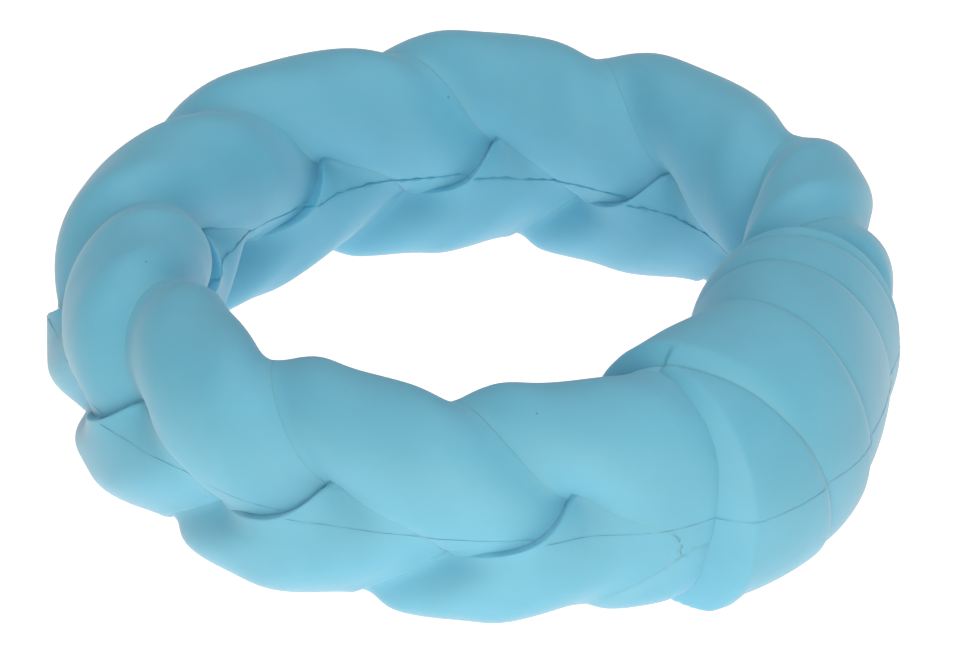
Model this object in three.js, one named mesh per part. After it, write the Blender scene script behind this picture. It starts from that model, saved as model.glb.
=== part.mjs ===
// A dog's chew ring in soft rubber. Three strands are plaited into a ring, and a
// broad band is wound over the place where their ends meet. Millimetres, +Z up:
// the ring lies flat with its axis along Z, and the wound band is at its right.

import * as THREE from 'three';

// The plait
const RING_RADIUS = 61; // ring's axis to the middle of the plait
const DENT_DEPTH = 5.5; // how far the ring is drawn in at the band's far end
const DENT_ANGLE = 349; // degrees round the ring to the middle of that dent
const DENT_LENGTH = 36; // length of ring that it spreads over
const PLAIT_RISE = 10.9; // swing of a strand above and below mid-height
const PLAIT_SWING = 3.6; // swing of a strand towards the ring's axis and away from it
const STRAND_WIDTH = 22.8; // section of a strand along its swing
const STRAND_THICKNESS = 19.3; // section of a strand across its swing
const LOWER_LEAN = 19; // how far the lower lobes lean along the ring, from their inside to their outside
const STRAND_GAP = 1.35; // between strands where they press on each other, before faceting
const JOIN_GAP = 1.2; // between the two ends of a strand, inside the band
const REST_CUT = 0.5; // depth of the flats that the ring lies on

// Degrees round the ring, from +X towards +Y, where one strand gives way to the next on top
const CROSSING_ANGLES = [26.8, 68.1, 102.2, 138.7, 173.9, 201, 234.2, 268.9, 296.5, 325, 356];

// The wound band
const BORE_WIDTH = 28.2; // room for the strands inside the band
const BORE_HEIGHT = 36;
const BAND_CLEARANCE = 0.5; // strands to the band
const BAND_THICKNESS = 5.4; // at its thickest
const BAND_START_THICKNESS = 2.4; // at its start
const BAND_END_THICKNESS = 2.8; // at its end
const BAND_SWELL = 0.3; // turns from its start to its thickest place
const BAND_GAP = 0.6; // between neighbouring turns
const BAND_TAIL = 3; // width of the band at either end
const BAND_START = 100; // section angle of its edge at the start: 0 outside, 90 on top
const GRIP_RUN = 12; // length over which the strands draw in towards the band
const GRIP_LEAD = 3; // and how far before its edges they are fully drawn in

// The band's left edge: turns made, and degrees round the ring. The turn before 0 is the band's lip,
// and the later ones are the edges between neighbouring turns.
const BAND_EDGE = [
  [-1, 302.5], [-0.72, 303.5], [-0.5, 299], [-0.22, 293.5], [0, 303],
  [0.13, 312.5], [0.3, 320.5], [1, 327], [1.2, 329], [2, 342.5], [3, 353], [3.6, 358],
];

// Facets
const FACET_LENGTH = 2.3; // along a strand
const STRAND_SIDES = 14;
const BAND_STEPS_PER_TURN = 30;
const EDGE_ANGLE_TOLERANCE = 1e-4; // radians, in finding the edge of a pressed face

const FULL_TURN = 2 * Math.PI;
const STRAND_NAMES = ['strand_a', 'strand_b', 'strand_c'];
const rad = THREE.MathUtils.degToRad;
const lerp = THREE.MathUtils.lerp;

// Smooth curve through points [place, value]
function curveThrough(points) {
  const places = points.map((point) => point[0]);
  const values = points.map((point) => point[1]);
  const curve = new THREE.CubicInterpolant(places, values, 1, new Float64Array(1));
  return (place) => curve.evaluate(place)[0];
}

// Number of crossings passed at an angle, running on through the turns before and after
const crossingPoints = [-360, 0, 360].flatMap((turn, pass) =>
  CROSSING_ANGLES.map((angle, i) => [rad(angle + turn), i + (pass - 1) * CROSSING_ANGLES.length]));
const crossingsPassed = curveThrough(crossingPoints);

const bandEdge = curveThrough(BAND_EDGE);
const bandTurns = BAND_EDGE.at(-1)[0];
const bandEndAngle = rad(BAND_EDGE.at(-1)[1]);
const restLevel = REST_CUT - PLAIT_RISE - STRAND_THICKNESS / 2;

// Which diagonal folds a four-sided facet: the outer one, or the inner one where a neighbour presses
function foldsAlongAC(ring, nextRing, j, next) {
  const corners = [ring.points[j], nextRing.points[j], nextRing.points[next], ring.points[next]];
  const hub = ring.hub.clone().add(nextRing.hub).divideScalar(2);
  const heightAC = corners[0].clone().add(corners[2]).divideScalar(2).distanceTo(hub);
  const heightBD = corners[1].clone().add(corners[3]).divideScalar(2).distanceTo(hub);
  const pressed = corners.every((corner) => corner.pressed);
  return pressed ? heightAC < heightBD : heightAC > heightBD;
}

// Closed solid from rings of points, each with a hub, and a fan over either end
function solidFromRings(rings) {
  const sides = rings[0].points.length;
  const positions = rings.flatMap((ring) => ring.points).flatMap((point) => point.toArray());
  const triangles = [];
  for (let i = 0; i + 1 < rings.length; i++) {
    for (let j = 0; j < sides; j++) {
      const next = (j + 1) % sides;
      const a = i * sides + j;
      const b = (i + 1) * sides + j;
      const c = (i + 1) * sides + next;
      const d = i * sides + next;
      if (foldsAlongAC(rings[i], rings[i + 1], j, next)) triangles.push(a, b, c, a, c, d);
      else triangles.push(a, b, d, b, c, d);
    }
  }
  const startHub = rings.length * sides;
  const endHub = startHub + 1;
  const endRing = startHub - sides;
  positions.push(...rings[0].hub.toArray(), ...rings.at(-1).hub.toArray());
  for (let j = 0; j < sides; j++) {
    const next = (j + 1) % sides;
    triangles.push(startHub, j, next, endHub, endRing + next, endRing + j);
  }
  const geometry = new THREE.BufferGeometry();
  geometry.setAttribute('position', new THREE.Float32BufferAttribute(positions, 3));
  geometry.setIndex(triangles);
  geometry.computeVertexNormals();
  return geometry;
}

// Radius of the plait's middle at an angle round the ring
function middleRadius(angle) {
  const turn = THREE.MathUtils.euclideanModulo(angle - rad(DENT_ANGLE) + Math.PI, FULL_TURN) - Math.PI;
  const away = turn * RING_RADIUS / (DENT_LENGTH / 2);
  return RING_RADIUS - DENT_DEPTH * Math.exp(-away * away);
}

// Point at an angle round the ring, given how far it is outside the plait's middle and its height
function ringPoint(angle, outward, height) {
  const radius = middleRadius(angle) + outward;
  return new THREE.Vector3(radius * Math.cos(angle), radius * Math.sin(angle), height);
}

// Middle of a strand's section: a figure of eight, taken by each strand a third of a lap apart
function strandCentre(strand, angle) {
  const lap = rad(90 + 120 * (crossingsPassed(angle) - 0.5 - strand));
  return { x: -PLAIT_SWING * Math.sin(2 * lap), z: PLAIT_RISE * Math.sin(lap) };
}

// Section of a free strand in the plane at an angle: an ellipse, as its centre and quadratic form.
// It is thin across the strand's swing and long along it, and longer where the strand runs aslant.
function strandSection(strand, angle) {
  const step = 0.001;
  const { x, z } = strandCentre(strand, angle);
  const before = strandCentre(strand, angle - step);
  const after = strandCentre(strand, angle + step);
  const run = 2 * step * (RING_RADIUS + x);
  const slope = Math.hypot(after.x - before.x, after.z - before.z) / run;
  const alongX = (after.x - before.x) / run / slope;
  const alongZ = (after.z - before.z) / run / slope;
  const long = 4 / (STRAND_WIDTH ** 2 * (1 + slope ** 2));
  const thin = 4 / STRAND_THICKNESS ** 2;
  return {
    x,
    z,
    xx: long * alongX ** 2 + thin * alongZ ** 2,
    zz: long * alongZ ** 2 + thin * alongX ** 2,
    xz: (long - thin) * alongX * alongZ,
  };
}

// Value of a section's quadratic form for two offsets from its centre
function formValue(section, ax, az, bx, bz) {
  return section.xx * ax * bx + section.zz * az * bz + section.xz * (ax * bz + az * bx);
}

// Smallest positive root of a t^2 + b t + c, or Infinity
function firstPositiveRoot(a, b, c) {
  const discriminant = b * b - 4 * a * c;
  if (discriminant < 0) return Infinity;
  const half = -0.5 * (b + (b < 0 ? -1 : 1) * Math.sqrt(discriminant));
  const roots = [half / a, c / half].filter((root) => root > 0);
  return Math.min(Infinity, ...roots);
}

// Reach of a strand's section along a ray from its centre, where a neighbour stops it. With both
// sections measured as shares of their own free reach, the two shares differ there by the gap.
function reachToNeighbour(section, other, ux, uz, freeReach) {
  const dx = section.x - other.x;
  const dz = section.z - other.z;
  const gapShare = STRAND_GAP / (STRAND_THICKNESS / 2);
  const a = 1 / freeReach ** 2 - formValue(other, ux, uz, ux, uz);
  const b = 2 * gapShare / freeReach - 2 * formValue(other, dx, dz, ux, uz);
  const c = gapShare ** 2 - formValue(other, dx, dz, dx, dz);
  return firstPositiveRoot(a, b, c);
}

// Turn round the ring of a strand's point below mid-height, back at the outside and on at the inside
function lowerLean(outward, height) {
  const acrossShare = outward / (PLAIT_SWING + STRAND_WIDTH / 2);
  const depthShare = Math.min(height, 0) / (PLAIT_RISE + STRAND_THICKNESS / 2);
  return -LOWER_LEAN / RING_RADIUS * acrossShare * depthShare ** 2;
}

// How far a strand's section reaches along a ray from its centre, freely and with its neighbours there
function reachesAlong(section, others, turn) {
  const ux = Math.cos(turn);
  const uz = Math.sin(turn);
  const free = 1 / Math.sqrt(formValue(section, ux, uz, ux, uz));
  const pressed = Math.min(...others.map((other) => reachToNeighbour(section, other, ux, uz, free)));
  return { ux, uz, free, pressed };
}

// Even turns of the rays round a section, with one moved to each edge of a pressed face
function rayTurns(section, others) {
  const step = FULL_TURN / STRAND_SIDES;
  const isPressed = (turn) => {
    const { free, pressed } = reachesAlong(section, others, turn);
    return pressed < free;
  };
  const turns = Array.from({ length: STRAND_SIDES }, (_, j) => j * step);
  for (let j = 0; j < STRAND_SIDES; j++) {
    let low = j * step;
    let high = low + step;
    const lowPressed = isPressed(low);
    if (lowPressed === isPressed(high)) continue;
    while (high - low > EDGE_ANGLE_TOLERANCE) {
      const middle = (low + high) / 2;
      if (isPressed(middle) === lowPressed) low = middle;
      else high = middle;
    }
    turns[Math.round(high / step) % STRAND_SIDES] = high;
  }
  return turns;
}

// How firmly the band holds a strand at an angle round the ring and a section angle: 1 inside the
// band, easing to 0 away from its lip and its end
function gripAt(angle, turn) {
  const lipTurns = -THREE.MathUtils.euclideanModulo(turn - rad(BAND_START), FULL_TURN) / FULL_TURN;
  const lipAngle = rad(bandEdge(lipTurns));
  const place = THREE.MathUtils.euclideanModulo(angle, FULL_TURN);
  const afterEnd = THREE.MathUtils.euclideanModulo(angle - bandEndAngle, FULL_TURN);
  const beforeLip = THREE.MathUtils.euclideanModulo(lipAngle - angle, FULL_TURN);
  const inside = place >= lipAngle && place <= bandEndAngle;
  const away = inside ? 0 : RING_RADIUS * Math.min(afterEnd, beforeLip);
  return 1 - THREE.MathUtils.smoothstep(away, GRIP_LEAD, GRIP_LEAD + GRIP_RUN);
}

// One strand, once round the ring, pressed flat against its neighbours and drawn in under the band
function makeStrand(strand) {
  const join = (rad(BAND_EDGE[0][1]) + bandEndAngle) / 2;
  const halfGap = JOIN_GAP / 2 / RING_RADIUS;
  const holdWidth = BORE_WIDTH / 2 - BAND_CLEARANCE;
  const holdHeight = BORE_HEIGHT / 2 - BAND_CLEARANCE;
  const squeezeX = holdWidth / (PLAIT_SWING + STRAND_WIDTH / 2);
  const squeezeZ = holdHeight / (PLAIT_RISE + STRAND_THICKNESS / 2);
  const stations = Math.round(FULL_TURN * RING_RADIUS / FACET_LENGTH);
  const rings = [];
  for (let i = 0; i <= stations; i++) {
    const angle = lerp(join + halfGap, join + FULL_TURN - halfGap, i / stations);
    const section = strandSection(strand, angle);
    const others = [1, 2].map((step) => strandSection((strand + step) % 3, angle));
    const points = rayTurns(section, others).map((turn) => {
      const { ux, uz, free, pressed } = reachesAlong(section, others, turn);
      const openReach = Math.min(free, pressed);
      const outward = section.x + openReach * ux;
      const height = section.z + openReach * uz;
      const place = angle + lowerLean(outward, height);
      const grip = gripAt(place, Math.atan2(height, outward));
      const scaleX = lerp(1, squeezeX, grip);
      const scaleZ = lerp(1, squeezeZ, grip);
      // Ellipse that the drawn-in section stays inside, wide open where the band doesn't reach
      const slack = (1 - grip) * STRAND_WIDTH;
      const hold = {
        xx: (scaleX / (holdWidth + slack)) ** 2,
        zz: (scaleZ / (holdHeight + slack)) ** 2,
        xz: 0,
      };
      const holdReach = firstPositiveRoot(
        formValue(hold, ux, uz, ux, uz),
        2 * formValue(hold, section.x, section.z, ux, uz),
        formValue(hold, section.x, section.z, section.x, section.z) - 1);
      const floorReach = uz < 0 ? (restLevel / scaleZ - section.z) / uz : Infinity;
      const reach = Math.min(openReach, holdReach, floorReach);
      const point = ringPoint(place, scaleX * (section.x + reach * ux), scaleZ * (section.z + reach * uz));
      point.pressed = reach === pressed;
      return point;
    });
    const hub = ringPoint(angle + lowerLean(section.x, section.z), section.x, section.z);
    rings.push({ points, hub });
  }
  return solidFromRings(rings);
}

// Outline across the band, once round it: share of the width, share of the thickness
const BAND_OUTLINE = [
  [0, 0.5], [0.15, 0.9], [0.5, 1], [0.85, 0.9], [1, 0.5],
  [1, 0], [0.75, 0], [0.5, 0], [0.25, 0], [0, 0],
];

// Point outside the bore at an angle round the ring, a section angle and a height above the bore
function pointOverBore(angle, turn, height) {
  const halfWidth = BORE_WIDTH / 2;
  const halfHeight = BORE_HEIGHT / 2;
  const normal = new THREE.Vector2(Math.cos(turn) / halfWidth, Math.sin(turn) / halfHeight).normalize();
  const outward = halfWidth * Math.cos(turn) + height * normal.x;
  const rise = halfHeight * Math.sin(turn) + height * normal.y;
  return ringPoint(angle, outward, Math.max(rise, restLevel));
}

// Thickness after a number of turns, counted from one turn before the edge starts
function bandThickness(turns) {
  const thickest = BAND_SWELL - 1;
  if (turns < thickest) {
    return lerp(BAND_START_THICKNESS, BAND_THICKNESS, THREE.MathUtils.smoothstep(turns, -1, thickest));
  }
  return lerp(BAND_THICKNESS, BAND_END_THICKNESS, (turns - thickest) / (bandTurns - thickest));
}

// The band's section after a number of turns. It lies between one pass of the edge and the next.
function bandRing(turns) {
  const left = rad(bandEdge(turns));
  const nextPass = turns + 1 > bandTurns ? bandEndAngle : rad(bandEdge(turns + 1));
  const turn = rad(BAND_START) - FULL_TURN * turns;
  const radius = RING_RADIUS + BORE_WIDTH / 2 * Math.cos(turn);
  const right = nextPass - BAND_GAP / radius;
  const thickness = bandThickness(turns);
  const points = BAND_OUTLINE.map(([across, up]) => {
    const point = pointOverBore(lerp(left, right, across), turn, up * thickness);
    point.pressed = up === 0;
    return point;
  });
  const hub = points.reduce((sum, point) => sum.add(point), new THREE.Vector3()).divideScalar(points.length);
  return { turns, points, hub, width: (right - left) * RING_RADIUS };
}

// The band: one unbroken strip wound round the strands
function makeBandRings() {
  const rings = [];
  const steps = Math.round((bandTurns + 1) * BAND_STEPS_PER_TURN);
  for (let i = 0; i <= steps; i++) rings.push(bandRing(i / BAND_STEPS_PER_TURN - 1));
  return rings.filter((ring) => ring.width >= BAND_TAIL);
}

// Least distance between points of the band that are half a turn or more apart along it
function leastGap(rings) {
  let least = Infinity;
  for (const ring of rings) {
    const others = rings.filter((other) => other.turns - ring.turns >= 0.5);
    for (const point of ring.points) {
      for (const other of others) {
        for (const otherPoint of other.points) least = Math.min(least, point.distanceTo(otherPoint));
      }
    }
  }
  return least;
}

const rubber = new THREE.MeshStandardMaterial({ color: 0x7db8cf, roughness: 0.7, metalness: 0 });

function addPiece(group, name, geometry) {
  const mesh = new THREE.Mesh(geometry, rubber);
  mesh.name = name;
  group.add(mesh);
}

const ring = new THREE.Group();
STRAND_NAMES.forEach((name, strand) => addPiece(ring, name, makeStrand(strand)));
const bandRings = makeBandRings();
addPiece(ring, 'wrap_band', solidFromRings(bandRings));
console.log(`wrap_band: least gap to itself ${leastGap(bandRings).toFixed(2)} mm`);

// Origin: under the middle of the ring, on the surface that it lies on
const box = new THREE.Box3().setFromObject(ring);
const middle = box.getCenter(new THREE.Vector3());
ring.position.set(-middle.x, -middle.y, -box.min.z);

export default ring;
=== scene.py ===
# %% [markdown]
# # A plaited rubber ring for a dog
# The toy is one piece of soft blue rubber. It is moulded to look like three broad strands, plaited and
# closed into a ring, with a band wound over the place where their ends meet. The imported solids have
# that form in flat facets. Here each strand and the band get their smooth surface, in the same frame and
# from the same kind of formula, with some sizes brought closer to the photo, mostly beside the band. One
# could subdivide the faceted solids instead, but that would round the creases between the strands away.

import bpy
import numpy as np
from mathutils import Matrix, Vector


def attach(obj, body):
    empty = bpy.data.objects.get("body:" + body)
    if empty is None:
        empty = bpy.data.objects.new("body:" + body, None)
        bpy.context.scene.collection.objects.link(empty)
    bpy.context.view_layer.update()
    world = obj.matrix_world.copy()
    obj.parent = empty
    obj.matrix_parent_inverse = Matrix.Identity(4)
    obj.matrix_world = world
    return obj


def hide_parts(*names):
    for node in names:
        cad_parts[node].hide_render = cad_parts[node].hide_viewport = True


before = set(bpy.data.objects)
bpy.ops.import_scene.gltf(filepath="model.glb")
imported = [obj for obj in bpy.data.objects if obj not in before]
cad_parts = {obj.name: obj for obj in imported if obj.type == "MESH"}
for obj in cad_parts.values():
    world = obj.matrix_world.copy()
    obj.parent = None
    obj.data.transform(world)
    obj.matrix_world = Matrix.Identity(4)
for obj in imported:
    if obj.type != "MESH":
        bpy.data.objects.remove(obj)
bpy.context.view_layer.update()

MM = 0.001
TAU = 2 * np.pi
print("nodes:", ", ".join(sorted(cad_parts)))

# %% [markdown]
# ## The plait's sizes
# A plait of three strands is a figure of eight, taken by each strand a third of a lap after the one
# before. So two swings, one section and the places of the crossings give the whole plait. The crossings
# aren't evenly spaced, because the real one was shaped by hand before its mould was made.

# %% Sizes of the plait, in millimetres and degrees
RING_RADIUS = 61.0  # from the ring's axis to the middle of the plait
DENT_DEPTH = 6.4  # the ring is pressed in near the band's far end
DENT_ANGLE = np.radians(349)
DENT_LENGTH = 43.0
PLAIT_RISE = 10.9  # how far a strand's middle swings up and down
PLAIT_SWING = 3.1  # and to either side
STRAND_WIDTH = 22.3
STRAND_THICKNESS = 19.3
MIDWAY_SWELL = 0.16  # how much larger a strand is where it passes mid-height
LOWER_LEAN = 16.5  # how far the sides of the lowest lobes are turned round the ring
FLARE = 0.04  # how much the ring's radius grows for each millimetre further down
REST_CUT = 0.5  # how much of the lowest lobes is cut flat to rest on
CROSSING_ANGLES = np.radians([31, 68.6, 102.2, 138.7, 173.9, 201, 234.2, 268.9, 302, 333.5, 365.5])

# Where the ring's axis stands in the frame, whose origin is under the middle of the outline
AXIS_X = 0.94
AXIS_Y = 0.08
HALF_WIDTH = PLAIT_SWING + STRAND_WIDTH / 2
HALF_HEIGHT = PLAIT_RISE + STRAND_THICKNESS / 2
REST_LEVEL = REST_CUT - HALF_HEIGHT
print(f"plait: {2 * HALF_WIDTH:.1f} mm wide, {2 * HALF_HEIGHT:.1f} mm high")

# %% A smooth curve through knots
def curve_through(places, values):
    """Cubic in each stretch; its slope at a knot is the mean of the two straight slopes that meet there."""
    places = np.asarray(places, float)
    values = np.asarray(values, float)
    straight = np.diff(values) / np.diff(places)
    slopes = np.concatenate([straight[:1], (straight[1:] + straight[:-1]) / 2, straight[-1:]])

    def curve(at):
        i = np.clip(np.searchsorted(places, at, side="right") - 1, 0, len(places) - 2)
        span = places[i + 1] - places[i]
        p = (at - places[i]) / span
        start = (1 - p) ** 2 * ((1 + 2 * p) * values[i] + p * span * slopes[i])
        end = p ** 2 * ((3 - 2 * p) * values[i + 1] - (1 - p) * span * slopes[i + 1])
        return start + end

    return curve


laps = np.arange(-1, 2)[:, None]
counts = np.arange(len(CROSSING_ANGLES))
crossings_passed = curve_through(
    (CROSSING_ANGLES + TAU * laps).ravel(), (counts + len(counts) * laps).ravel())
print(f"crossings: {len(counts)} in one turn of the ring")

# %% Places round the ring
def smooth_step(value, low, high):
    """0 below low, 1 above high, with a smooth rise between."""
    share = np.clip((value - low) / (high - low), 0, 1)
    return share ** 2 * (3 - 2 * share)


def ring_point(angle, outward, height):
    """Point at an angle round the ring, so far outside the plait's middle and so far above mid-height.

    The middle's radius has one bell-shaped dent, and the ring flares a little towards its underside.
    """
    turn = np.mod(angle - DENT_ANGLE + np.pi, TAU) - np.pi
    dent = DENT_DEPTH * np.exp(-(turn * RING_RADIUS / (DENT_LENGTH / 2)) ** 2)
    radius = RING_RADIUS - dent + outward - FLARE * height
    return np.stack([
        AXIS_X + radius * np.cos(angle),
        AXIS_Y + radius * np.sin(angle),
        height - REST_LEVEL + 0 * radius,
    ], axis=-1)


print(f"middle of the plait: {RING_RADIUS - DENT_DEPTH:.1f} to {RING_RADIUS:.1f} mm from the axis")

# %% [markdown]
# ## The wound band's sizes
# The band is one strip, wound four times and a bit round the plait like a bandage. Its left edge is a
# curve: turns made against degrees round the ring. The right edge of each turn then lies against the
# left edge of the next one, so a single curve places them all, and the seams between turns can't open.

# %% Sizes of the band, in millimetres, degrees and turns
BORE_WIDTH = 27.7  # of the ellipse that the band is wound on
BORE_HEIGHT = 36.0
BAND_CLEARANCE = 0.05  # between it and the strands
BAND_THICKNESS = 5.4  # at the thickest place, but for the swells further down
BAND_START_THICKNESS = 2.4
BAND_END_THICKNESS = 2.8
BAND_SWELL = 0.3  # turns from the band's start to its thickest place
BAND_START = np.radians(100)  # round the section, where the count of turns is a whole number
LIP_GRIP = (-7.0, 1.5)  # distances before the lip at which the strands are fully held, and free
END_GRIP = (3.0, 17.0)  # the same past the band's end
BAND_EDGE = [  # turns, and the degrees round the ring of the left edge there
    (-1, 301), (-0.72, 301), (-0.5, 297.5), (-0.22, 293), (0, 303),
    (0.13, 311.5), (0.3, 318.3), (1, 327), (1.2, 329), (2, 342.5), (3, 353), (3.6, 358),
]
BAND_TURNS, BAND_END = BAND_EDGE[-1][0], np.radians(BAND_EDGE[-1][1])
band_edge = curve_through([turns for turns, _ in BAND_EDGE], [np.radians(angle) for _, angle in BAND_EDGE])
least_angle = min(angle for _, angle in BAND_EDGE)
print(f"band: {BAND_TURNS + 1:.1f} turns over {BAND_EDGE[-1][1] - least_angle:.0f} degrees of the ring")

# %% [markdown]
# ## A strand
# Each strand is a soft rope, a bit flattened, and pressed against the other two. Modelling it by hand
# would mean sculpting over twenty lobes alike. Instead, rays run out from the middle of its section: a
# ray ends on the strand's own ellipse, or earlier where a neighbour presses. There both strands reach
# the same share of their free size, so the two agree on where they meet. Each then runs on a little, out
# of sight, so that the crease is soft and no slit shows.

# %% Sections of the strands
def strand_lap(strand, angle):
    """Phase of a strand: a third of a lap for each crossing, and a third behind the strand before it."""
    return np.radians(90 + 120 * (crossings_passed(angle) - 0.5 - strand))


def strand_centre(strand, angle):
    """Middle of a strand's section: a figure of eight."""
    lap = strand_lap(strand, angle)
    return -PLAIT_SWING * np.sin(2 * lap), PLAIT_RISE * np.sin(lap)


def strand_section(strand, angle):
    """Middle and quadratic form of a free strand's section, whose value is 1 on the outline.

    The ellipse is long along the strand's swing and thin across it.
    """
    step = 0.001
    x, z = strand_centre(strand, angle)
    before_x, before_z = strand_centre(strand, angle - step)
    after_x, after_z = strand_centre(strand, angle + step)
    run = 2 * step * (RING_RADIUS + x)
    slope_x, slope_z = (after_x - before_x) / run, (after_z - before_z) / run
    slope = np.hypot(slope_x, slope_z)
    along_x, along_z = slope_x / slope, slope_z / slope
    size = 1 + MIDWAY_SWELL * np.cos(strand_lap(strand, angle)) ** 2
    long = 4 / (STRAND_WIDTH * size) ** 2
    thin = 4 / (STRAND_THICKNESS * size) ** 2
    xx = long * along_x ** 2 + thin * along_z ** 2
    zz = long * along_z ** 2 + thin * along_x ** 2
    xz = (long - thin) * along_x * along_z
    return x, z, (xx, zz, xz)


def form_value(form, ax, az, bx, bz):
    """Value of a quadratic form for two offsets from its middle."""
    xx, zz, xz = form
    return xx * ax * bx + zz * az * bz + xz * (ax * bz + az * bx)


near_middle = strand_centre(0, np.radians(270))
print("middle of the first strand at the near side, outward and up in mm:", np.round(near_middle, 1))

# %% Where rays end
FAR = 200.0  # longer than any ray


def first_positive_root(a, b, c):
    """Smallest positive root of a t^2 + b t + c, element by element, or FAR where there is none."""
    square = b * b - 4 * a * c
    half = -0.5 * (b + np.where(b < 0, -1, 1) * np.sqrt(np.maximum(square, 0)))
    with np.errstate(divide="ignore", invalid="ignore"):
        roots = np.stack([half / a, c / half])
    return np.where((roots > 0) & (square >= 0), roots, FAR).min(axis=0)


def soft_least(one, other, rounding):
    """The smaller of two lengths, rounded off where they differ by less than the rounding."""
    share = np.clip(0.5 + 0.5 * (other - one) / rounding, 0, 1)
    return other + (one - other) * share - rounding * share * (1 - share)


def reach_to_neighbour(own, other, ux, uz, free):
    """Reach of a ray where a neighbour stops it. There both strands are at the same share of their free
    reach, which makes this a quadratic in the reach."""
    own_x, own_z, _ = own
    other_x, other_z, form = other
    dx, dz = own_x - other_x, own_z - other_z
    a = 1 / free ** 2 - form_value(form, ux, uz, ux, uz)
    b = -2 * form_value(form, dx, dz, ux, uz)
    c = -form_value(form, dx, dz, dx, dz)
    return first_positive_root(a, b, c)


def reach_to_ellipse(form, x, z, ux, uz):
    """Reach of a ray from a strand's middle to an ellipse round the plait's middle."""
    a = form_value(form, ux, uz, ux, uz)
    b = 2 * form_value(form, x, z, ux, uz)
    c = form_value(form, x, z, x, z) - 1
    return first_positive_root(a, b, c)


print("test of the roots, where 2 is right:", first_positive_root(1.0, 0.0, -4.0))

# %% [markdown]
# ## How the band holds the strands
# Under the band the plait is squeezed thinner, and it swells out again on either side of it. So each
# point knows how firmly it is held: fully inside the band's edges, and less and less away from them.

# %% Grip of the band and lean of the lower lobes
HOLD_WIDTH = BORE_WIDTH / 2 - BAND_CLEARANCE
HOLD_HEIGHT = BORE_HEIGHT / 2 - BAND_CLEARANCE


def grip_at(angle, turn):
    """1 between the band's lip and its end, easing to 0 away from them; the lip leans round the section."""
    lip = band_edge(-np.mod(turn - BAND_START, TAU) / TAU)
    middle = (lip + BAND_END) / 2
    place = middle - np.pi + np.mod(angle - middle + np.pi, TAU)
    before = smooth_step(RING_RADIUS * (lip - place), *LIP_GRIP)
    past = smooth_step(RING_RADIUS * (place - BAND_END), *END_GRIP)
    return (1 - before) * (1 - past)


def lower_lean(outward, height):
    """Turn round the ring of a point below mid-height: back at the outside and on at the inside, by the
    share across times the square of the share of depth."""
    depth = np.minimum(height, 0) / HALF_HEIGHT
    return -LOWER_LEAN / RING_RADIUS * (outward / HALF_WIDTH) * depth ** 2


print(f"room inside the band: {2 * HOLD_WIDTH:.1f} by {2 * HOLD_HEIGHT:.1f} mm")

# %% Rays that gather at the creases
STATIONS = 440  # along a strand
RAYS = 220  # round it
FINE_RAYS = 720  # tried before the rays are placed
CREASE_DENSITY = 4.0  # how much more weight a crease has
CREASE_RUN = 0.15  # share over which the rays gather
ROW_STEP = 4  # keeps stations apart in one long list, where each spans three laps


def free_and_pressed(strand, angle, turn):
    """Two reaches for each ray of a strand: to its own ellipse, and to the nearer neighbour's face."""
    ux, uz = np.cos(turn), np.sin(turn)
    own = strand_section(strand, angle)
    free = 1 / np.sqrt(form_value(own[2], ux, uz, ux, uz))
    others = [strand_section((strand + step) % 3, angle) for step in (1, 2)]
    pressed = [reach_to_neighbour(own, other, ux, uz, free) for other in others]
    return free, np.minimum(*pressed)


def shares_apart(strand, angle, ux, uz, reach, free):
    """How much greater each neighbour's share is than the strand's own, at a reach: 0 in a crease."""
    x, z, _ = strand_section(strand, angle)
    shares = []
    for step in (1, 2):
        other_x, other_z, form = strand_section((strand + step) % 3, angle)
        dx, dz = x + reach * ux - other_x, z + reach * uz - other_z
        shares.append(np.sqrt(form_value(form, dx, dz, dx, dz)) - reach / free)
    return shares


def gathered_rays(strand, angle):
    """Ray angles for each station, closer together where the strand's own face meets a pressed one: even
    steps of a running sum whose weight is greatest there. On the mean they stay where they would be."""
    fine = np.linspace(0, TAU, FINE_RAYS + 1)[None, :]
    free, _ = free_and_pressed(strand, angle, fine)
    apart = np.minimum(*shares_apart(strand, angle, np.cos(fine), np.sin(fine), free, free))
    weight = 1 + CREASE_DENSITY * np.exp(-(apart / CREASE_RUN) ** 2)
    total = np.cumsum(weight, axis=1)
    share = (total - total[:, :1]) / (total[:, -1:] - total[:, :1])
    even = np.linspace(0, 1, RAYS, endpoint=False) + (share - fine / TAU).mean(axis=1, keepdims=True)
    laps = np.arange(-1, 2).repeat(FINE_RAYS)
    share = np.tile(share[:, :-1], 3) + laps
    turn = np.tile(fine[:, :-1], 3) + TAU * laps + 0 * share
    row = ROW_STEP * np.arange(len(angle))[:, None]
    return np.interp((row + even).ravel(), (row + share).ravel(), turn.ravel()).reshape(even.shape)


print(f"grid of a strand: {STATIONS} stations by {RAYS} rays")

# %% A strand's surface
FILLET = 0.3  # share of a strand's size over which two strands run together in a crease
FILLET_ROUNDS = 8
LIFT_LOWER = 4.0  # how far the end of a lower lobe stands proud of the next one in its row
LIFT_UPPER = 1.5  # the same for an upper lobe
LIFT_RUN = 0.55  # share over which it rises
SHOULDER = 0.25  # share over which the end of an upper lobe rounds off again
TUCK = 0.8  # how far the start of a lower lobe dips under its neighbours
TUCK_RUN = 0.9  # share over which it dips
OVERLAP = 2.2  # the strands run this far into each other, so that creases are soft and no slit shows
EDGE_ROUNDING = 0.5  # where a strand ends inside a neighbour
HOLD_ROUNDING = 0.6  # where the band stops it
LIP_START, LIP_FULL = np.radians((283, 296))  # where the lip begins to press the strands, and does fully
LIFT_END_RUN, FILL_END_RUN = np.radians((45, 16))  # over which that eases past the band's end
FILL_WIDTH = 15.0  # half sizes of the ellipse that fills the crevices there
FILL_HEIGHT = 19.8
FILL_ROUNDING = 3.0  # where a strand's face runs into it
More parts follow.
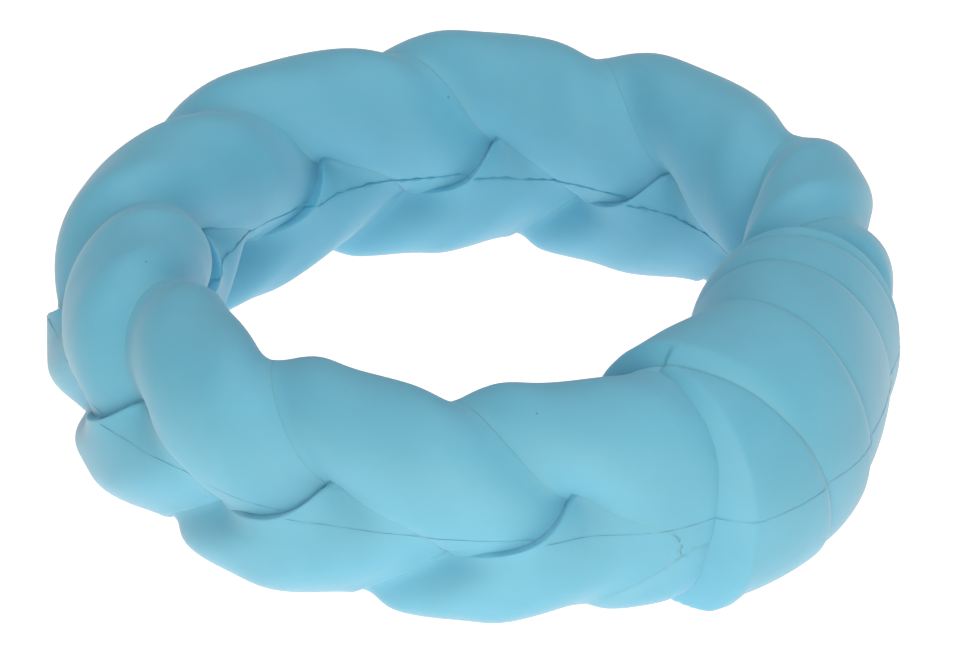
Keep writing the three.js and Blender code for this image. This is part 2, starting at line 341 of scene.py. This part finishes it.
FILL_FORM = (1 / FILL_WIDTH ** 2, 1 / FILL_HEIGHT ** 2, 0)
JOIN_GAP = 1.2  # between the two ends of a strand, inside the band
JOIN_ANGLE = (np.radians(BAND_EDGE[0][1]) + BAND_END) / 2


def band_press(angle, end_run):
    """1 where the band presses the strands together, easing to 0 before its lip and past its end."""
    place = LIP_START + np.mod(angle - LIP_START, TAU)
    return smooth_step(place, LIP_START, LIP_FULL) * (1 - smooth_step(place - BAND_END, 0, end_run))


def filleted_reach(strand, angle, ux, uz, free):
    """Free reach, raised near a crease by a quarter of the fillet times the square of how close it is.
    The reach is on both sides of that, so it is found in rounds."""
    reach = free
    for _ in range(FILLET_ROUNDS):
        apart = np.minimum(*shares_apart(strand, angle, ux, uz, reach, free))
        close = np.clip(1 - apart / FILLET, 0, 1)
        reach = (reach + free * (1 + FILLET / 4 * close ** 2)) / 2
    return reach


def lobe_lift(x, z, ux, apart):
    """Rise of a strand's face beside its creases. Where the strand swings towards a side, its lobe ends
    proud of the next lobe in its row; where it swings away, a lower lobe starts tucked in."""
    upper = smooth_step(z, -PLAIT_RISE / 2, PLAIT_RISE / 2)
    side = ux * x / PLAIT_SWING
    lift = (LIFT_LOWER + (LIFT_UPPER - LIFT_LOWER) * upper) * np.clip(side, 0, 1)
    tuck = TUCK * (1 - upper) * np.clip(-side, 0, 1)
    row_apart = np.where(ux > 0, *apart)
    rounding = upper * np.clip(1 - row_apart / SHOULDER, 0, 1) ** 2
    in_row = np.clip(1 - row_apart / LIFT_RUN, 0, 1) ** 2 * (1 - rounding)
    nearest = np.clip(1 - np.minimum(*apart) / TUCK_RUN, 0, 1) ** 2
    return lift * in_row - tuck * nearest


def strand_surface(strand):
    """Grid of a strand, stations along it by rays round it: each point is a reach along a ray from the
    section's middle, drawn in by the band's grip and turned by the lean."""
    half_gap = JOIN_GAP / 2 / RING_RADIUS
    angle = np.linspace(JOIN_ANGLE + half_gap, JOIN_ANGLE + TAU - half_gap, STATIONS)[:, None]
    turn = gathered_rays(strand, angle)
    ux, uz = np.cos(turn), np.sin(turn)
    x, z, _ = strand_section(strand, angle)
    free, pressed = free_and_pressed(strand, angle, turn)
    reach = filleted_reach(strand, angle, ux, uz, free)
    apart = [np.maximum(share, 0) for share in shares_apart(strand, angle, ux, uz, reach, free)]
    reach = reach + lobe_lift(x, z, ux, apart) * (1 - band_press(angle, LIFT_END_RUN))
    filled = -soft_least(-reach, -reach_to_ellipse(FILL_FORM, x, z, ux, uz), FILL_ROUNDING)
    reach = reach + (filled - reach) * band_press(angle, FILL_END_RUN)
    reach = soft_least(reach, pressed + OVERLAP, EDGE_ROUNDING)
    outward, height = x + reach * ux, z + reach * uz
    place = angle + lower_lean(outward, height)
    grip = grip_at(place, np.arctan2(height, outward))
    scale_x = 1 + (HOLD_WIDTH / HALF_WIDTH - 1) * grip
    scale_z = 1 + (HOLD_HEIGHT / HALF_HEIGHT - 1) * grip
    slack = (1 - grip) * STRAND_WIDTH
    hold = ((scale_x / (HOLD_WIDTH + slack)) ** 2, (scale_z / (HOLD_HEIGHT + slack)) ** 2, 0)
    reach = soft_least(reach, reach_to_ellipse(hold, x, z, ux, uz), HOLD_ROUNDING)
    level = np.maximum(scale_z * (z + reach * uz), REST_LEVEL)
    return ring_point(place, scale_x * (x + reach * ux), level)


print(f"ends of each strand: {JOIN_GAP} mm apart at {np.degrees(JOIN_ANGLE):.1f} degrees")

# %% Meshes from grids
def mesh_from_grid(name, grid, closed_ends=True):
    """Mesh of a grid that closes round its columns. Rows are joined in order; the ends are fans, or the
    last row joins the first."""
    rows, columns, _ = grid.shape
    last = rows - 1 if closed_ends else rows
    i, j = np.meshgrid(np.arange(last), np.arange(columns), indexing="ij")
    next_i, next_j = (i + 1) % rows, (j + 1) % columns
    quads = np.stack([i, next_i, next_i, i], -1) * columns + np.stack([j, j, next_j, next_j], -1)
    points = grid.reshape(-1, 3)
    faces = quads.reshape(-1, 4).tolist()
    if closed_ends:
        points = np.concatenate([points, grid[:1].mean(axis=1), grid[-1:].mean(axis=1)])
        j = np.arange(columns)
        start = np.full(columns, rows * columns)
        first, second = j, (j + 1) % columns
        tail = (rows - 1) * columns
        faces += np.stack([start, first, second], -1).tolist()
        faces += np.stack([start + 1, tail + second, tail + first], -1).tolist()
    mesh = bpy.data.meshes.new(name)
    mesh.from_pydata((points * MM).tolist(), [], faces)
    mesh.polygons.foreach_set("use_smooth", np.ones(len(mesh.polygons), bool))
    mesh.update()
    piece = bpy.data.objects.new(name, mesh)
    bpy.context.scene.collection.objects.link(piece)
    return piece


# %% The three strands
STRAND_NODES = ("strand_a", "strand_b", "strand_c")
strand_grids = [strand_surface(strand) for strand in range(len(STRAND_NODES))]
strands = []
for node, grid in zip(STRAND_NODES, strand_grids):
    piece = mesh_from_grid(f"plait_{node}", grid)
    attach(piece, "root")
    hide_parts(node)
    strands.append(piece)
    print(piece.name, len(piece.data.polygons), "faces")

# %% [markdown]
# ## The wound band
# The band's look is in its edges. The free lip at its near end slopes down to the strands in a broad,
# soft bevel; each later turn stands a little proud of the next one, with a rounded edge and a narrow
# groove between them. So the strip's height over the bore is its thickness, less a drop at each edge
# that is as deep as the step down to whatever lies beside it. The first turn is uneven as well: it
# swells and dips, stands out in a lobe below the lip, and bulges on the ring's inside.

# %% Heights across the band
GROOVE = 0.2  # depth of the groove between turns
EDGE_WIDTH = 2.2  # over which a turn's edge rounds off
CROWN = 0.35  # swell in the middle of a turn
FULL_CROWN_WIDTH = 4 * EDGE_WIDTH  # of a turn, below which it swells less
SINK = 0.4  # the free edges run this far into the strands, so that no slit shows
BEVEL_POWER = 1.35  # of a wide edge, where 1 is a straight bevel
LIP_WIDTH = [  # turns, and the width over which the left edge slopes there
    (-1, 3.0), (-0.72, 5.0), (-0.5, 3.6), (-0.22, 2.6), (0, 3.5), (0.2, 3.0),
    (1, EDGE_WIDTH), (4, EDGE_WIDTH),
]
lip_width = curve_through([turns for turns, _ in LIP_WIDTH], [width for _, width in LIP_WIDTH])
SWELLS = (  # place in turns, rise, and length in turns
    (-0.63, 1.3, 0.12),
    (-0.48, -2.2, 0.09),
    (0.4, 0.6, 0.14),
)
FOLD_PLACE, FOLD_RISE, FOLD_LENGTH = -0.5, 1.5, 0.12  # of the lip's lobe, which stands proud below
FOLD_EDGE = [(-0.72, 5.0), (-0.5, 8.5)]  # turns, and the lobe's width there
FOLD_RUN = 3.0  # over which the lobe rises from the lip
FOLD_ROUNDING = 1.2  # to either side of its width, over which it falls again
INNER_PLACE, INNER_RISE, INNER_RUN = np.radians(313), 2.6, np.radians(12)  # swell on the ring's inside


def band_thickness(turns):
    """Rises from the start to the thickest place, then thins evenly to the end, apart from the swells.
    Past either end it is gone."""
    thickest = BAND_SWELL - 1
    risen = smooth_step(turns, -1, thickest)
    rising = BAND_START_THICKNESS + (BAND_THICKNESS - BAND_START_THICKNESS) * risen
    fallen = (turns - thickest) / (BAND_TURNS - thickest)
    falling = BAND_THICKNESS + (BAND_END_THICKNESS - BAND_THICKNESS) * fallen
    thickness = np.where(turns < thickest, rising, falling)
    for place, rise, length in SWELLS:
        thickness = thickness + rise * np.exp(-((turns - place) / length) ** 2)
    return np.where((turns < -1) | (turns > BAND_TURNS), -SINK, thickness)


def edge_drop(turns, beside, away, width):
    """Drop near an edge: down to what lies beside it and into the groove, along a quarter ellipse, or a
    nearly straight bevel where the edge is wide."""
    drop = GROOVE + np.maximum(band_thickness(turns) - band_thickness(beside), 0)
    left = 1 - np.clip(away / width, 0, 1)
    rounded = 1 - np.sqrt(1 - left ** 2)
    bevelled = left ** BEVEL_POWER
    return drop * (rounded + (bevelled - rounded) * smooth_step(width, EDGE_WIDTH, 2 * EDGE_WIDTH))


along_band = np.linspace(-1, BAND_TURNS, 500)
print(f"band: up to {band_thickness(along_band).max():.1f} mm thick")

# %% The band's surface
BAND_STEPS_PER_TURN = 200
BAND_COLUMNS = 48  # across the outside
BAND_OVERLAP = 0.4  # the turns run this far into each other, so that no slit shows
BAND_TAIL = 0.3  # the strip ends where it gets narrower than this
UNDER_COLUMNS = 6  # across the hidden underside


def band_surface():
    """Grid of the band, steps along it by columns round its section. A point lies at a section angle of
    the bore's ellipse, raised along the ellipse's normal by the height there."""
    turns = np.linspace(-1, BAND_TURNS, round((BAND_TURNS + 1) * BAND_STEPS_PER_TURN) + 1)[:, None]
    left = band_edge(turns)
    right = np.where(turns + 1 > BAND_TURNS, BAND_END, band_edge(np.minimum(turns + 1, BAND_TURNS)))
    right = right + BAND_OVERLAP / RING_RADIUS
    width = (right - left) * RING_RADIUS
    kept = width[:, 0] > BAND_TAIL
    turns, left, right, width = turns[kept], left[kept], right[kept], width[kept]
    spread = (1 - np.cos(np.linspace(0, np.pi, BAND_COLUMNS))) / 2
    across = np.concatenate([spread, np.linspace(1, 0, UNDER_COLUMNS)])[None, :]
    outside = np.arange(across.size)[None, :] < BAND_COLUMNS
    crown = CROWN * np.minimum(width / FULL_CROWN_WIDTH, 1)
    height = band_thickness(turns) + crown * 4 * across * (1 - across)
    away = across * width
    height = height - edge_drop(turns, turns - 1, away, lip_width(turns))
    fold = np.interp(turns, *zip(*FOLD_EDGE))
    lobe = FOLD_RISE * np.exp(-((turns - FOLD_PLACE) / FOLD_LENGTH) ** 2)
    within = 1 - smooth_step(away, fold - FOLD_ROUNDING, fold + FOLD_ROUNDING)
    height = height + lobe * within * smooth_step(away, 0, FOLD_RUN)
    height = height - edge_drop(turns, turns + 1, (1 - across) * width, EDGE_WIDTH)
    section = BAND_START - TAU * turns
    angle = left + (right - left) * across
    inside = np.maximum(-np.cos(section), 0)
    height = height + INNER_RISE * inside * np.exp(-((angle - INNER_PLACE) / INNER_RUN) ** 2)
    height = np.where(outside, np.maximum(height, -SINK), -SINK)
    half_width, half_height = BORE_WIDTH / 2, BORE_HEIGHT / 2
    normal_x, normal_z = np.cos(section) / half_width, np.sin(section) / half_height
    length = np.hypot(normal_x, normal_z)
    outward = half_width * np.cos(section) + height * normal_x / length
    rise = half_height * np.sin(section) + height * normal_z / length
    return ring_point(angle, outward, np.maximum(rise, REST_LEVEL))


print(f"grid of the band: {BAND_STEPS_PER_TURN} steps in each turn, {BAND_COLUMNS} columns across")

# %% The band
band_grid = band_surface()
band = mesh_from_grid("wound_band", band_grid)
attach(band, "root")
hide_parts("wrap_band")
print(band.name, len(band.data.polygons), "faces")

# %% [markdown]
# ## The parting line
# Where the two halves of the mould met, a hair-thin line of flash runs round the ring at mid-height,
# outside and inside. A painted line would slide off the creases, so the line is a fine bead that lies on
# the surface: every edge of the finished grids that crosses mid-height gives a point, and the outermost
# or innermost points make the path. The beads are coloured darker than the rubber, as painted shade of the
# fine crack along the line.

# %% Paths of the parting line
PATH_STEPS = STATIONS
PATH_SMOOTHING = 2  # steps to either side that the median takes in


def mid_height_points(grid):
    """Angle and radius of each place where the grid's edges, along either direction, cross mid-height."""
    x, y, z = grid[..., 0] - AXIS_X, grid[..., 1] - AXIS_Y, grid[..., 2] + REST_LEVEL
    found = []
    for axis in (0, 1):
        starts = [np.take(a, range(0, a.shape[axis] - 1), axis) for a in (x, y, z)]
        ends = [np.take(a, range(1, a.shape[axis]), axis) for a in (x, y, z)]
        crossing = (starts[2] > 0) != (ends[2] > 0)
        start_x, start_y, start_z = [a[crossing] for a in starts]
        end_x, end_y, end_z = [a[crossing] for a in ends]
        share = end_z / (end_z - start_z)
        at_x = end_x + (start_x - end_x) * share
        at_y = end_y + (start_y - end_y) * share
        found.append(np.stack([np.mod(np.arctan2(at_y, at_x), TAU), np.hypot(at_x, at_y)]))
    return np.concatenate(found, axis=1)


def line_path(points, outer):
    """Radius at even angles round the ring: the greatest or least one found in each step, with gaps
    bridged and the median of a few steps taken."""
    step = (points[0] / TAU * PATH_STEPS).astype(int) % PATH_STEPS
    radius = np.full(PATH_STEPS, -np.inf if outer else np.inf)
    (np.maximum if outer else np.minimum).at(radius, step, points[1])
    known = np.isfinite(radius)
    angle = (np.arange(PATH_STEPS) + 0.5) / PATH_STEPS * TAU
    bridged = np.interp(angle, angle[known], radius[known], period=TAU)
    shifts = range(-PATH_SMOOTHING, PATH_SMOOTHING + 1)
    return angle, np.median([np.roll(bridged, shift) for shift in shifts], axis=0)


crossings = np.concatenate([mid_height_points(grid) for grid in [*strand_grids, band_grid]], axis=1)
print(f"parting line: {crossings.shape[1]} points at mid-height")

# %% The bead along a path
BEAD_SIDES = 6
BEAD_STEPS = 2400
WIDTH_WAVES = (12, 20, 140)  # sines that vary the width: how many, and the range of their counts of waves
WIDTH_MEAN, WIDTH_SWING, WIDTH_LEAST = 0.5, 1.8, 0.02  # shares of the greatest width
WANDER_WAVES = (6, 3, 24)  # the same for the line's wander up and down
WANDER = 0.5


def mean_of_sines(random, angle, number, fewest, most):
    """Mean of a few sines round the ring, with random counts of waves and random phases."""
    waves = random.integers(fewest, most, number)
    phases = random.uniform(0, TAU, number)
    return np.sin(angle[:, None] * waves + phases).mean(axis=1)[:, None]


def bead_surface(path, outer, width, height, seed):
    """Grid of a fine bead: an ellipse carried along the path, whose width comes and goes as a sum of
    sines, so that the line looks broken, and which wanders a little up and down."""
    angle, radius = path
    fine = np.linspace(0, TAU, BEAD_STEPS, endpoint=False)
    base = np.interp(fine, angle, radius, period=TAU)
    random = np.random.default_rng(seed)
    wave = mean_of_sines(random, fine, *WIDTH_WAVES)
    thickness = width * np.clip(WIDTH_MEAN + WIDTH_SWING * wave, WIDTH_LEAST, 1)
    wander = WANDER * mean_of_sines(random, fine, *WANDER_WAVES)
    turn = np.linspace(0, TAU, BEAD_SIDES, endpoint=False)[None, :]
    out = 1 if outer else -1
    outward = base[:, None] + out * height * np.cos(turn)
    level = wander + thickness / 2 * np.sin(turn) * out
    x = AXIS_X + outward * np.cos(fine)[:, None]
    y = AXIS_Y + outward * np.sin(fine)[:, None]
    return np.stack([x, y, level - REST_LEVEL], axis=-1)


print(f"bead: {BEAD_STEPS} steps round the ring by {BEAD_SIDES} sides")

# %% The parting line's beads
LINES = (  # name, whether outside, greatest width, height, and seed
    ("parting_line_outside", True, 0.22, 0.06, 5),
    ("parting_line_inside", False, 0.9, 0.2, 8),
)
beads = []
for name, outer, width, height, seed in LINES:
    path = line_path(crossings, outer)
    piece = mesh_from_grid(name, bead_surface(path, outer, width, height, seed), closed_ends=False)
    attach(piece, "root")
    beads.append(piece)
    print(name, f"radius {path[1].min():.1f} to {path[1].max():.1f} mm")

# %% [markdown]
# ## The rubber
# The toy is moulded natural rubber, pigmented through. A moulded rubber skin is matt, with a faint
# cloudy unevenness in its colour, a fine grain and a few dark specks of dust pressed in. Light goes a
# little way into it, which softens its shadows.

# %% Helpers for materials
def linear(hex_colour):
    """Linear colour of an sRGB hex value."""
    srgb = np.array([int(hex_colour[i:i + 2], 16) for i in (1, 3, 5)]) / 255
    low, high = srgb / 12.92, ((srgb + 0.055) / 1.055) ** 2.4
    return (*np.where(srgb <= 0.04045, low, high), 1.0)


def add_node(material, kind, inputs, **settings):
    """Add a node with its settings; an input is a value, or another node's output to link."""
    node = material.node_tree.nodes.new(kind)
    for name, value in settings.items():
        setattr(node, name, value)
    for name, value in inputs.items():
        if isinstance(value, bpy.types.NodeSocket):
            material.node_tree.links.new(value, node.inputs[name])
        else:
            node.inputs[name].default_value = value
    return node


# %% Moulded rubber
CLOUD_SIZE = 16 * MM
CLOUD_EDGES = (0.3, 0.7)  # noise values at which the tint is fully dark, and fully light
SPECK_SPACING = 13 * MM
SPECK_RADIUS = 0.26 * MM
SPECK_COLOUR = "#4f93ab"
GRAIN_SIZE = 0.7 * MM
GRAIN_DEPTH = 0.05 * MM


def moulded_rubber(name, light, dark):
    """Matt pigmented rubber: two close blues mixed by soft clouds, rare specks, and a fine grain."""
    material = bpy.data.materials.new(name)
    material.use_nodes = True
    material.node_tree.nodes.clear()
    place = add_node(material, "ShaderNodeTexCoord", {}).outputs["Object"]
    # The clouds keep a broad lobe from looking like plain paint
    clouds = add_node(material, "ShaderNodeTexNoise", {
        "Vector": place,
        "Scale": 1 / CLOUD_SIZE,
        "Detail": 3.0,
    })
    tint = add_node(material, "ShaderNodeValToRGB", {"Fac": clouds.outputs["Fac"]})
    for element, position, colour in zip(tint.color_ramp.elements, CLOUD_EDGES, (dark, light)):
        element.position = position
        element.color = linear(colour)
    # A speck is the middle of a cell, so only some specks lie on the surface
    cells = add_node(material, "ShaderNodeTexVoronoi", {"Vector": place, "Scale": 1 / SPECK_SPACING})
    near = add_node(material, "ShaderNodeMath", {
        0: cells.outputs["Distance"],
        1: SPECK_RADIUS / SPECK_SPACING,
    }, operation="LESS_THAN")
    speckled = add_node(material, "ShaderNodeMix", {
        "Factor": near.outputs[0],
        "A": tint.outputs["Color"],
        "B": linear(SPECK_COLOUR),
    }, data_type="RGBA")
    # The grain breaks up the sheen, as the mould's blasted surface does
    grain = add_node(material, "ShaderNodeTexNoise", {
        "Vector": place,
        "Scale": 1 / GRAIN_SIZE,
        "Detail": 2.0,
    })
    bump = add_node(material, "ShaderNodeBump", {
        "Height": grain.outputs["Fac"],
        "Strength": 0.12,
        "Distance": GRAIN_DEPTH,
    })
    shader = add_node(material, "ShaderNodeBsdfPrincipled", {
        "Base Color": speckled.outputs["Result"],
        "Normal": bump.outputs["Normal"],
        "Roughness": 0.7,
        "IOR": 1.5,
        "Specular IOR Level": 1.0,
        "Subsurface Weight": 0.3,
        "Subsurface Radius": (0.3, 0.8, 1.0),
        "Subsurface Scale": 2.5 * MM,
        "Sheen Weight": 0.25,
        "Sheen Roughness": 0.45,
    })
    add_node(material, "ShaderNodeOutputMaterial", {"Surface": shader.outputs["BSDF"]})
    return material


# %% Dress the pieces
rubber = moulded_rubber("moulded_blue_rubber", "#61bddc", "#5ab6d5")
for piece in [*strands, band]:
    piece.data.materials.append(rubber)
# The beads' blues are darker than the rubber's: painted shade of the fine crack along the parting line,
# deepest on the inside.
flash_with_painted_shade = moulded_rubber("flash_painted_shade", "#36acd3", "#289dc5")
fine_flash_with_painted_shade = moulded_rubber("fine_flash_painted_shade", "#58b5d8", "#4caacd")
for piece, material in zip(beads, (fine_flash_with_painted_shade, flash_with_painted_shade)):
    piece.data.materials.append(material)
print("materials:", ", ".join(material.name for material in (rubber, flash_with_painted_shade, fine_flash_with_painted_shade)))

# %% [markdown]
# ## The stage
# The toy lies on a plain white table in soft studio light. Most light comes from the front, low down,
# and back up from the white table, so the sides are paler than the tops.

# %% Floor
FLOOR_HALF = 3.0
floor_mesh = bpy.data.meshes.new("table")
corners = np.array([(-1, -1, 0), (1, -1, 0), (1, 1, 0), (-1, 1, 0)]) * FLOOR_HALF
floor_mesh.from_pydata(corners.tolist(), [], [(0, 1, 2, 3)])
floor = bpy.data.objects.new("table", floor_mesh)
bpy.context.scene.collection.objects.link(floor)
white = bpy.data.materials.new("white_table")
white.use_nodes = True
white.node_tree.nodes.clear()
white_shader = add_node(white, "ShaderNodeBsdfPrincipled", {
    "Base Color": linear("#949494"),
    "Roughness": 0.9,
    "Emission Color": linear("#ffe8e1"),
    "Emission Strength": 1.15,
})
add_node(white, "ShaderNodeOutputMaterial", {"Surface": white_shader.outputs["BSDF"]})
floor_mesh.materials.append(white)
print("table:", 2 * FLOOR_HALF, "m across")

# %% Lights
LIGHTS = (  # name, place in metres, size, power in watts, and colour
    ("front_softbox", (0.0, -1.7, 0.42), 1.4, 29.0, "#ffe2d2"),
    ("top_softbox", (0.2, 0.4, 1.8), 1.6, 18.0, "#ffffff"),
)
for name, place, size, power, colour in LIGHTS:
    light = bpy.data.lights.new(name, "AREA")
    light.size = size
    light.energy = power
    light.color = linear(colour)[:3]
    lamp = bpy.data.objects.new(name, light)
    lamp.location = place
    lamp.rotation_euler = (-Vector(place)).to_track_quat("-Z", "Y").to_euler()
    bpy.context.scene.collection.objects.link(lamp)
world = bpy.data.worlds.new("studio")
bpy.context.scene.world = world
world.use_nodes = True
world.node_tree.nodes["Background"].inputs["Color"].default_value = linear("#ffffff")
world.node_tree.nodes["Background"].inputs["Strength"].default_value = 0.15
bpy.context.scene.view_settings.view_transform = "Standard"
print("lights:", ", ".join(name for name, *_ in LIGHTS))

# %% [markdown]
# ## The camera
# The photograph was taken from about thirty degrees above the table with a long lens. The distance, the
# angles and the size in the picture were found by laying the model's outline over the photograph's.

# %% Camera
IMAGE_WIDTH, IMAGE_HEIGHT = 960, 650
ELEVATION = np.radians(30.85)
ROLL = np.radians(-1.1)
DISTANCE = 2294.0
PIXELS_PER_MM = 5.785
MIDDLE_PIXEL = (481.5, 317.85)  # where the middle of the ring is in the picture
SENSOR = 36.0

right = np.array([1, 0, 0])
up = np.array([0, np.sin(ELEVATION), np.cos(ELEVATION)])
back = np.array([0, -np.cos(ELEVATION), np.sin(ELEVATION)])
across = np.cos(ROLL) * right - np.sin(ROLL) * up
upright = np.sin(ROLL) * right + np.cos(ROLL) * up
offset = (MIDDLE_PIXEL[0] - IMAGE_WIDTH / 2) * across + (IMAGE_HEIGHT / 2 - MIDDLE_PIXEL[1]) * upright
aim = np.array([AXIS_X, AXIS_Y, -REST_LEVEL]) - offset / PIXELS_PER_MM
eye = (aim + DISTANCE * back) * MM
lens = bpy.data.cameras.new("camera")
lens.sensor_width = SENSOR
lens.lens = PIXELS_PER_MM * DISTANCE * SENSOR / IMAGE_WIDTH
lens.clip_end = 20
camera = bpy.data.objects.new("camera", lens)
axes = np.stack([across, upright, back], axis=1)
camera.matrix_world = Matrix.Translation(Vector(eye)) @ Matrix(axes.tolist()).to_4x4()
bpy.context.scene.collection.objects.link(camera)
bpy.context.scene.camera = camera
print(f"camera: {lens.lens:.0f} mm lens at {DISTANCE / 1000:.2f} m")
